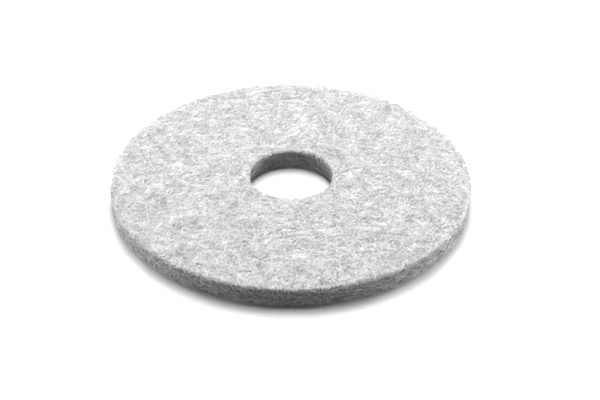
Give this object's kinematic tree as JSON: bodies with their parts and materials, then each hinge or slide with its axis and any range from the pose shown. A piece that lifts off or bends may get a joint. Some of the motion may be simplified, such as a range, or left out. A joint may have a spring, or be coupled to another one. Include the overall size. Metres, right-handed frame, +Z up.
{
  "type": "floor polishing pad",
  "caption": "Round floor polishing pad of lofty non-woven polyester web, with an open centre hole for the pad driver.",
  "frame": {"origin": "on the pad's axis, level with the surface that the pad lies on", "axes": "+Z up along the pad's axis, out of its upper face; the pad is round about Z, so X and Y are free"},
  "size_m": [0.3557, 0.3558, 0.023],
  "materials": {
    "web": "matt lofty non-woven fibre web, off-white"
  },
  "bodies": {
    "root": {"polishing_pad": "web"}
  },
  "joints": []
}
